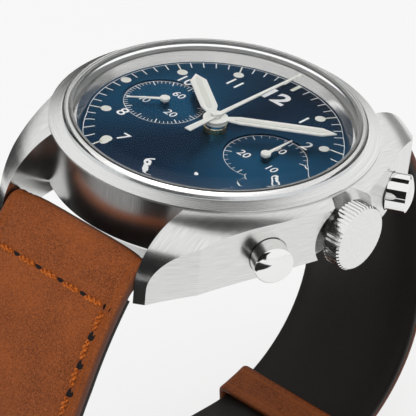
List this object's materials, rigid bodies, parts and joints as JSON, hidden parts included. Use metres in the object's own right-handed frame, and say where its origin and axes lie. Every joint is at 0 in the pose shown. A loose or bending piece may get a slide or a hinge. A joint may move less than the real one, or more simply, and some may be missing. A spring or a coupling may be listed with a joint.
{
  "type": "wristwatch",
  "caption": "Pilot watch with two counters in a round steel case with lugs, on a closed leather strap with a pin buckle.",
  "frame": {"origin": "on the plane that the closed strap loop stands on, under the hand axis", "axes": "+Z is the dial's normal, +X points to 3 o'clock and the crown, +Y to 12 o'clock"},
  "size_m": [0.0414, 0.0666, 0.0593],
  "materials": {
    "case_steel": "brushed band and flanks, polished lip",
    "crown_steel": "polished",
    "buckle_steel": "brushed",
    "gasket_rubber": "matte",
    "sapphire": "clear and polished",
    "dial_blue": "sunray lacquer",
    "hand_cream": "satin",
    "small_steel": "turned",
    "movement_brass": "turned",
    "brown_leather": "waxed pull-up leather",
    "dark_lining": "matte"
  },
  "bodies": {
    "watch": {"case_middle": "case_steel", "bezel": "case_steel", "crystal_gasket": "gasket_rubber", "crystal": "sapphire", "case_back": "case_steel", "case_back_gasket": "gasket_rubber", "dial": "dial_blue", "dial_flange": "dial_blue", "movement_ring": "small_steel", "movement_plate": "movement_brass", "train_bridge": "movement_brass", "balance_cock": "movement_brass", "crown_tube": "small_steel", "start_pusher_tube": "small_steel", "reset_pusher_tube": "small_steel", "start_pusher_spring": "small_steel", "reset_pusher_spring": "small_steel", "spring_bar_12": "crown_steel", "spring_bar_6": "crown_steel", "strap_long_leather": "brown_leather", "strap_long_lining": "dark_lining", "strap_short_leather": "brown_leather", "strap_short_lining": "dark_lining", "keeper_fixed": "brown_leather", "buckle_frame": "buckle_steel", "buckle_bar": "buckle_steel"},
    "barrel": {"mainspring_barrel": "movement_brass"},
    "balance": {"balance_wheel": "movement_brass"},
    "hour": {"hour_hand": "hand_cream", "hour_collet": "small_steel", "hour_wheel": "movement_brass"},
    "minute": {"minute_hand": "hand_cream", "minute_collet": "small_steel", "cannon_pinion": "small_steel"},
    "chrono_seconds": {"chrono_seconds_hand": "hand_cream", "chrono_seconds_arbor": "small_steel"},
    "small_seconds": {"small_seconds_hand": "hand_cream", "small_seconds_arbor": "small_steel"},
    "minute_counter": {"minute_counter_hand": "hand_cream", "minute_counter_arbor": "small_steel"},
    "winding_pinion": {"winding_pinion": "small_steel"},
    "crown": {"crown": "crown_steel", "crown_gasket": "gasket_rubber", "winding_stem": "small_steel"},
    "start_pusher": {"start_pusher": "crown_steel"},
    "reset_pusher": {"reset_pusher": "crown_steel"},
    "tongue": {"buckle_tongue": "buckle_steel"},
    "free_keeper": {"keeper_free": "brown_leather"}
  },
  "joints": [
    {"name": "barrel_spin", "type": "hinge", "parent": "watch", "child": "barrel", "pos_m": [-0.0045, 0.0055, 0.04975], "axis": [0, 0, 1], "continuous": true},
    {"name": "balance_swing", "type": "hinge", "parent": "watch", "child": "balance", "pos_m": [0.004, -0.007, 0.04995], "axis": [0, 0, 1], "range_deg": [-270, 270], "stiffness_Nm_per_rad": 0.0000004},
    {"name": "minute_hand_turn", "type": "hinge", "parent": "watch", "child": "minute", "pos_m": [0, 0, 0.05535], "axis": [0, 0, -1], "continuous": true},
    {"name": "hour_hand_turn", "type": "hinge", "parent": "watch", "child": "hour", "pos_m": [0, 0, 0.05535], "axis": [0, 0, -1], "continuous": true},
    {"name": "chrono_seconds_turn", "type": "hinge", "parent": "watch", "child": "chrono_seconds", "pos_m": [0, 0, 0.05535], "axis": [0, 0, -1], "continuous": true},
    {"name": "minute_counter_turn", "type": "hinge", "parent": "watch", "child": "minute_counter", "pos_m": [0.00779, 0, 0.05535], "axis": [0, 0, -1], "continuous": true},
    {"name": "small_seconds_turn", "type": "hinge", "parent": "watch", "child": "small_seconds", "pos_m": [-0.00779, 0, 0.05535], "axis": [0, 0, -1], "continuous": true},
    {"name": "winding_turn", "type": "hinge", "parent": "watch", "child": "winding_pinion", "pos_m": [0.0114, 0, 0.0525], "axis": [1, 0, 0], "continuous": true},
    {"name": "crown_pull", "type": "slide", "parent": "winding_pinion", "child": "crown", "axis": [1, 0, 0], "range_m": [0, 0.0012]},
    {"name": "start_pusher_press", "type": "slide", "parent": "watch", "child": "start_pusher", "axis": [-0.866, -0.5, 0], "range_m": [0, 0.001], "stiffness_N_per_m": 1500, "springref_m": -0.0005, "deforming": ["start_pusher_spring"]},
    {"name": "reset_pusher_press", "type": "slide", "parent": "watch", "child": "reset_pusher", "axis": [-0.866, 0.5, 0], "range_m": [0, 0.001], "stiffness_N_per_m": 1500, "springref_m": -0.0005, "deforming": ["reset_pusher_spring"]},
    {"name": "tongue_lift", "type": "hinge", "parent": "watch", "child": "tongue", "pos_m": [0, -0.0032, 0.0047], "axis": [1, 0, 0], "range_deg": [0, 8]},
    {"name": "free_keeper_slide", "type": "hinge", "parent": "watch", "child": "free_keeper", "pos_m": [0, 0.0152, 0.02165], "axis": [1, 0, 0], "range_deg": [-10, 20]}
  ],
  "couplings": [
    {"joint": "minute_hand_turn", "follows": "barrel_spin", "ratio": -6},
    {"joint": "hour_hand_turn", "follows": "barrel_spin", "ratio": -0.5},
    {"joint": "minute_counter_turn", "follows": "chrono_seconds_turn", "ratio": 0.033333}
  ]
}
